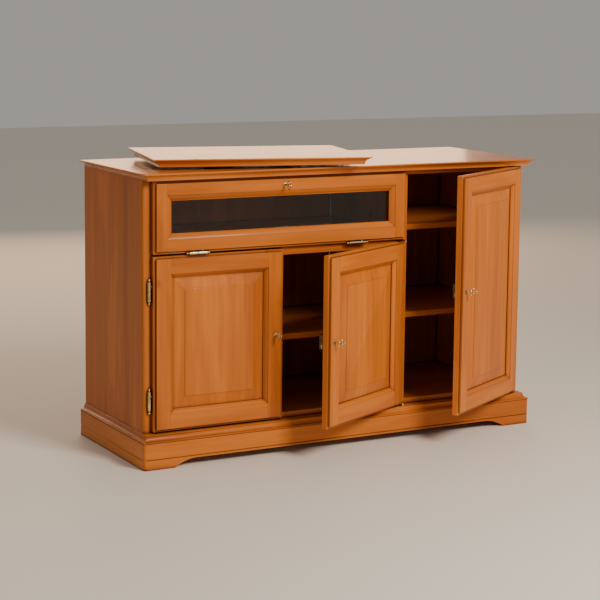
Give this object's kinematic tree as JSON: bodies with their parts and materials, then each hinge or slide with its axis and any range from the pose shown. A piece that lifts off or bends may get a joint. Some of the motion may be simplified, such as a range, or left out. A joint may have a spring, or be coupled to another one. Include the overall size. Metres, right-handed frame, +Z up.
{
  "type": "console television cabinet",
  "caption": "Low wooden cabinet for a television: raised-panel doors, a glazed drop flap, shelves, a moulded top and plinth, and a turning plate on top.",
  "frame": {"origin": "on the floor, at the centre of the plinth's footprint", "axes": "+Z up, +X to the right seen from the front, along the cabinet's length, +Y to the back; the doors face -Y"},
  "size_m": [1.26, 0.66, 0.83],
  "materials": {
    "cherry": "satin lacquered orange-brown cherry",
    "back_board": "matt thin board, stained",
    "brass": "aged satin",
    "steel": "zinc plated",
    "glass": "clear"
  },
  "bodies": {
    "carcass": {"side_panel_left": "cherry", "side_panel_right": "cherry", "front_stiles": "cherry", "partition": "cherry", "front_rails": "cherry", "flap_rail": "cherry", "top_panel": "cherry", "floor_panel": "cherry", "back_panels": "back_board", "deck": "cherry", "wide_shelf": "cherry", "narrow_shelves": "cherry", "shelf_pins": "brass", "plinth_front": "cherry", "plinth_sides": "cherry", "plinth_back": "cherry", "plinth_blocks": "cherry", "cap_moulding": "cherry", "hinge_frame_halves": "brass", "hinge_pins": "brass", "pivot_frame_plates": "brass", "shelf_keeper": "brass", "strike_plates": "brass", "stay_brackets": "steel", "turntable_base": "steel", "turntable_balls": "steel"},
    "left_door": {"left_door_stiles": "cherry", "left_door_rails": "cherry", "left_door_panel": "cherry", "left_door_lock": "brass", "left_door_hinges": "brass"},
    "middle_door": {"middle_door_stiles": "cherry", "middle_door_rails": "cherry", "middle_door_panel": "cherry", "middle_door_lock": "brass", "middle_door_pivots": "brass"},
    "tall_door": {"tall_door_stiles": "cherry", "tall_door_rails": "cherry", "tall_door_panel": "cherry", "tall_door_lock": "brass", "tall_door_hinges": "brass"},
    "flap": {"flap_stiles": "cherry", "flap_rails": "cherry", "flap_glass": "glass", "flap_glass_beads": "cherry", "flap_lock": "brass", "flap_hinges": "brass", "flap_stay_brackets": "steel"},
    "stay_arms": {"stay_arms": "steel"},
    "stay_links": {"stay_links": "steel"},
    "tv_plate": {"tv_plate": "cherry", "turntable_ring": "steel"},
    "left_door_key": {"left_door_key": "brass"},
    "left_door_bolt": {"left_door_bolt": "brass"},
    "middle_door_key": {"middle_door_key": "brass"},
    "middle_door_bolt": {"middle_door_bolt": "brass"},
    "tall_door_key": {"tall_door_key": "brass"},
    "tall_door_bolt": {"tall_door_bolt": "brass"},
    "flap_key": {"flap_key": "brass"},
    "flap_bolt": {"flap_bolt": "brass"}
  },
  "joints": [
    {"name": "left_door_hinge", "type": "hinge", "parent": "carcass", "child": "left_door", "pos_m": [-0.598, -0.191, 0.0965], "axis": [0, 0, -1], "range_deg": [0, 140]},
    {"name": "middle_door_hinge", "type": "hinge", "parent": "carcass", "child": "middle_door", "pos_m": [0.197, -0.207, 0.0965], "axis": [0, 0, 1], "range_deg": [-27, 63]},
    {"name": "tall_door_hinge", "type": "hinge", "parent": "carcass", "child": "tall_door", "pos_m": [0.598, -0.191, 0.0965], "axis": [0, 0, 1], "range_deg": [-30, 110]},
    {"name": "flap_hinge", "type": "hinge", "parent": "carcass", "child": "flap", "pos_m": [0, -0.205, 0.58], "axis": [1, 0, 0], "range_deg": [0, 90]},
    {"name": "stay_arm_pivot", "type": "hinge", "parent": "carcass", "child": "stay_arms", "pos_m": [0, -0.175, 0.675], "axis": [1, 0, 0], "range_deg": [0, 90]},
    {"name": "stay_link_pivot", "type": "hinge", "parent": "flap", "child": "stay_links", "pos_m": [0, -0.175, 0.65], "axis": [1, 0, 0], "range_deg": [-90, 0]},
    {"name": "tv_plate_swivel", "type": "hinge", "parent": "carcass", "child": "tv_plate", "pos_m": [-0.222, -0.025, 0.8], "axis": [0, 0, 1], "continuous": true},
    {"name": "left_door_key_turn", "type": "hinge", "parent": "left_door", "child": "left_door_key", "pos_m": [-0.223, -0.185, 0.336], "axis": [0, -1, 0], "range_deg": [0, 180]},
    {"name": "left_door_bolt_slide", "type": "slide", "parent": "left_door", "child": "left_door_bolt", "axis": [1, 0, 0], "range_m": [0, 0.009]},
    {"name": "middle_door_key_turn", "type": "hinge", "parent": "middle_door", "child": "middle_door_key", "pos_m": [-0.1391, -0.35356, 0.336], "axis": [0.454, -0.891, 0], "range_deg": [0, 180]},
    {"name": "middle_door_bolt_slide", "type": "slide", "parent": "middle_door", "child": "middle_door_bolt", "axis": [-0.891, -0.454, 0], "range_m": [0, 0.009]},
    {"name": "tall_door_key_turn", "type": "hinge", "parent": "tall_door", "child": "tall_door_key", "pos_m": [0.2737, -0.3713, 0.45], "axis": [0.5, -0.866, 0], "range_deg": [0, 180]},
    {"name": "tall_door_bolt_slide", "type": "slide", "parent": "tall_door", "child": "tall_door_bolt", "axis": [-0.866, -0.5, 0], "range_m": [0, 0.009]},
    {"name": "flap_key_turn", "type": "hinge", "parent": "flap", "child": "flap_key", "pos_m": [-0.196, -0.185, 0.754], "axis": [0, -1, 0], "range_deg": [0, 180]},
    {"name": "flap_bolt_slide", "type": "slide", "parent": "flap", "child": "flap_bolt", "axis": [0, 0, 1], "range_m": [0, 0.009]}
  ],
  "couplings": [
    {"joint": "stay_arm_pivot", "follows": "flap_hinge", "ratio": 1},
    {"joint": "stay_link_pivot", "follows": "flap_hinge", "ratio": -1},
    {"joint": "left_door_bolt_slide", "follows": "left_door_key_turn", "m_per_rad": 0.0028648},
    {"joint": "middle_door_bolt_slide", "follows": "middle_door_key_turn", "m_per_rad": 0.0028648},
    {"joint": "tall_door_bolt_slide", "follows": "tall_door_key_turn", "m_per_rad": 0.0028648},
    {"joint": "flap_bolt_slide", "follows": "flap_key_turn", "m_per_rad": 0.0028648}
  ]
}
